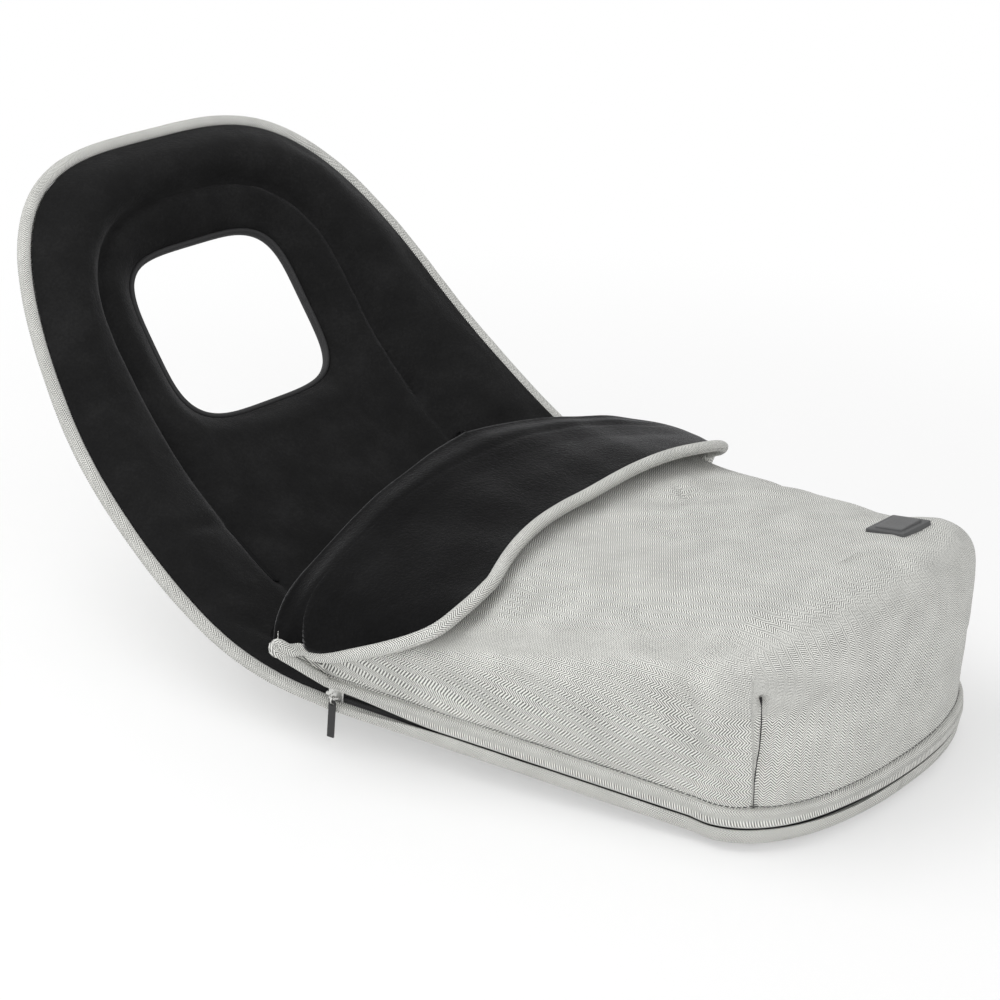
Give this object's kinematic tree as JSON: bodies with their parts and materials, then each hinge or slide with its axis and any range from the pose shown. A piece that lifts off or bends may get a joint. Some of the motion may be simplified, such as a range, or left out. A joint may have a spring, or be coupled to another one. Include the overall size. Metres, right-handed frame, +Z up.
{
  "type": "stroller footmuff",
  "caption": "Padded pushchair footmuff: bent back panel with a head opening, zip-on quilted cover over the feet and a folded-back flap with fleece lining.",
  "frame": {"origin": "middle of the underside's bounding box, on the surface that the base lies on", "axes": "+Z up, +Y from the toe to the head end, +X to the right of the child who lies in it"},
  "size_m": [0.5317, 0.7968, 0.3556],
  "materials": {
    "herringbone_cloth": "woven herringbone, matt",
    "fleece_lining": "short pile fleece",
    "wadding": "soft polyester wadding",
    "black_tape": "woven tape",
    "zip_coil": "moulded coil",
    "zip_metal": "satin silver",
    "pull_plastic": "matt",
    "label_rubber": "matt, blank"
  },
  "bodies": {
    "base": {"base_shell": "herringbone_cloth", "base_wadding": "wadding", "seat_liner": "fleece_lining", "base_binding": "herringbone_cloth", "crotch_slot_piping": "black_tape", "zip_tape_base": "black_tape", "zip_chain_base": "zip_coil", "zip_stop_left": "zip_metal", "zip_stop_right": "zip_metal"},
    "back": {"back_shell": "herringbone_cloth", "back_wadding": "wadding", "back_liner": "fleece_lining", "back_binding": "herringbone_cloth", "opening_piping": "black_tape", "lap_slot_piping_left": "black_tape", "lap_slot_piping_right": "black_tape"},
    "cover": {"cover_shell": "herringbone_cloth", "cover_wadding_toe": "wadding", "cover_wadding_left": "wadding", "cover_wadding_right": "wadding", "cover_liner": "fleece_lining", "cover_piping": "herringbone_cloth", "zip_tape_cover": "black_tape", "zip_chain_cover": "zip_coil", "label_patch": "label_rubber", "label_badge": "label_rubber"},
    "flap": {"flap_shell": "herringbone_cloth", "flap_wadding": "wadding", "flap_liner": "fleece_lining", "hem_binding": "herringbone_cloth"},
    "slider_left": {"slider_body_left": "zip_metal", "slider_bridge_left": "zip_metal"},
    "slider_right": {"slider_body_right": "zip_metal", "slider_bridge_right": "zip_metal"},
    "pull_left": {"pull_link_left": "zip_metal", "pull_tab_left": "pull_plastic"},
    "pull_right": {"pull_link_right": "zip_metal", "pull_tab_right": "pull_plastic"}
  },
  "joints": [
    {"name": "back_fold", "type": "hinge", "parent": "base", "child": "back", "pos_m": [0, 0.08293, 0.0503], "axis": [1, 0, 0], "range_deg": [-25, 28]},
    {"name": "cover_lift", "type": "hinge", "parent": "base", "child": "cover", "pos_m": [0, -0.3961, 0.0199], "axis": [1, 0, 0], "range_deg": [0, 90]},
    {"name": "flap_turn", "type": "hinge", "parent": "cover", "child": "flap", "pos_m": [0, 0.0225, 0.17145], "axis": [-1, 0, 0], "range_deg": [0, 140]},
    {"name": "slider_left_travel", "type": "slide", "parent": "base", "child": "slider_left", "axis": [0.2518, -0.9639, -0.0862], "range_m": [0, 0.268]},
    {"name": "slider_right_travel", "type": "slide", "parent": "base", "child": "slider_right", "axis": [-0.2518, -0.9639, -0.0862], "range_m": [0, 0.268]},
    {"name": "pull_left_swing", "type": "hinge", "parent": "slider_left", "child": "pull_left", "pos_m": [-0.22276, -0.04265, 0.0459], "axis": [-0.2518, 0.9639, 0.0862], "range_deg": [0, 150]},
    {"name": "pull_right_swing", "type": "hinge", "parent": "slider_right", "child": "pull_right", "pos_m": [0.22276, -0.04265, 0.0459], "axis": [-0.2518, -0.9639, -0.0862], "range_deg": [0, 150]}
  ]
}
